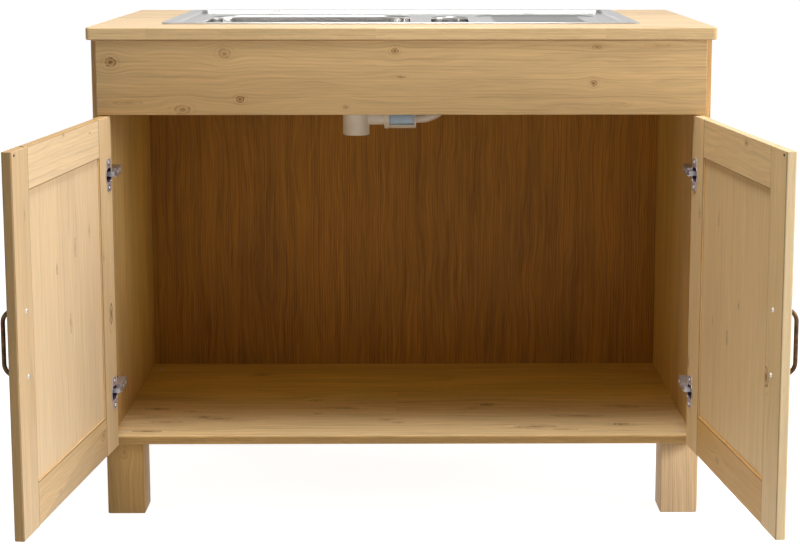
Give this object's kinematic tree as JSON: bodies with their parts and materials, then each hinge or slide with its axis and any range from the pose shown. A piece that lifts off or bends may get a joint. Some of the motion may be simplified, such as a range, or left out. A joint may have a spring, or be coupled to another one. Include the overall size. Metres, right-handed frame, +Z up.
{
  "type": "sink base cabinet",
  "caption": "Pine kitchen base cabinet on square legs with an inset steel sink and drainer, a fascia board, and hinged panelled doors with bow handles, standing open.",
  "frame": {"origin": "on the floor, under the middle of the whole unit's box with its doors open as stored; X = 0 is the cabinet's middle plane", "axes": "+X to the viewer's right along the worktop's front, +Y from the doors towards the wall, +Z up"},
  "size_m": [1.217, 1.1685, 0.888],
  "materials": {
    "pine": "clear satin lacquer on knotty pine",
    "worktop_pine": "pale satin pine-look worktop",
    "veneer": "matt brown wood-grain back panel",
    "stainless": "satin pressed stainless steel",
    "hinge_steel": "bright zinc or nickel plate",
    "bronze": "dark antique bronze with worn highlights",
    "white_plastic": "warm white moulded plastic",
    "blue_plastic": "pale blue glossy plastic",
    "rubber": "dark grey rubber"
  },
  "bodies": {
    "cabinet": {"worktop": "worktop_pine", "side_left": "pine", "side_right": "pine", "bottom_panel": "pine", "back_panel": "veneer", "rear_rail": "pine", "fascia": "pine", "leg_front_left": "pine", "leg_front_right": "pine", "leg_rear_left": "pine", "leg_rear_right": "pine", "sink": "stainless", "sink_seal": "rubber", "sink_clip_front_left": "hinge_steel", "sink_clip_front_right": "hinge_steel", "sink_clip_rear_left": "hinge_steel", "sink_clip_rear_right": "hinge_steel", "waste_flange": "stainless", "waste_body": "white_plastic", "waste_screw": "stainless", "link_pipe": "white_plastic", "link_sleeve": "blue_plastic", "link_cradle": "white_plastic", "link_elbow": "white_plastic", "small_waste": "stainless", "left_lower_hinge_arm": "hinge_steel", "left_lower_hinge_plate": "hinge_steel", "left_upper_hinge_arm": "hinge_steel", "left_upper_hinge_plate": "hinge_steel", "right_lower_hinge_arm": "hinge_steel", "right_lower_hinge_plate": "hinge_steel", "right_upper_hinge_arm": "hinge_steel", "right_upper_hinge_plate": "hinge_steel"},
    "left_door": {"left_hinge_stile": "pine", "left_free_stile": "pine", "left_top_rail": "pine", "left_bottom_rail": "pine", "left_panel": "pine", "left_handle": "bronze", "left_handle_screw_lower": "hinge_steel", "left_lower_hinge_cup": "hinge_steel", "left_lower_hinge_pin": "hinge_steel", "left_handle_screw_upper": "hinge_steel", "left_upper_hinge_cup": "hinge_steel", "left_upper_hinge_pin": "hinge_steel"},
    "right_door": {"right_hinge_stile": "pine", "right_free_stile": "pine", "right_top_rail": "pine", "right_bottom_rail": "pine", "right_panel": "pine", "right_handle": "bronze", "right_handle_screw_lower": "hinge_steel", "right_lower_hinge_cup": "hinge_steel", "right_lower_hinge_pin": "hinge_steel", "right_handle_screw_upper": "hinge_steel", "right_upper_hinge_cup": "hinge_steel", "right_upper_hinge_pin": "hinge_steel"},
    "bowl_strainer": {"strainer": "stainless"},
    "bowl_plug": {"small_plug": "rubber"}
  },
  "joints": [
    {"name": "left_door_hinge", "type": "hinge", "parent": "cabinet", "child": "left_door", "pos_m": [-0.523, -0.0655, 0.431], "axis": [0, 0, -1], "range_deg": [-96.5, 10.5]},
    {"name": "right_door_hinge", "type": "hinge", "parent": "cabinet", "child": "right_door", "pos_m": [0.523, -0.0655, 0.431], "axis": [0, 0, 1], "range_deg": [-96.5, 10.5]},
    {"name": "strainer_lift", "type": "slide", "parent": "cabinet", "child": "bowl_strainer", "axis": [0, 0, 1], "range_m": [0, 0.12]},
    {"name": "plug_lift", "type": "slide", "parent": "cabinet", "child": "bowl_plug", "axis": [0, 0, 1], "range_m": [0, 0.04]}
  ]
}
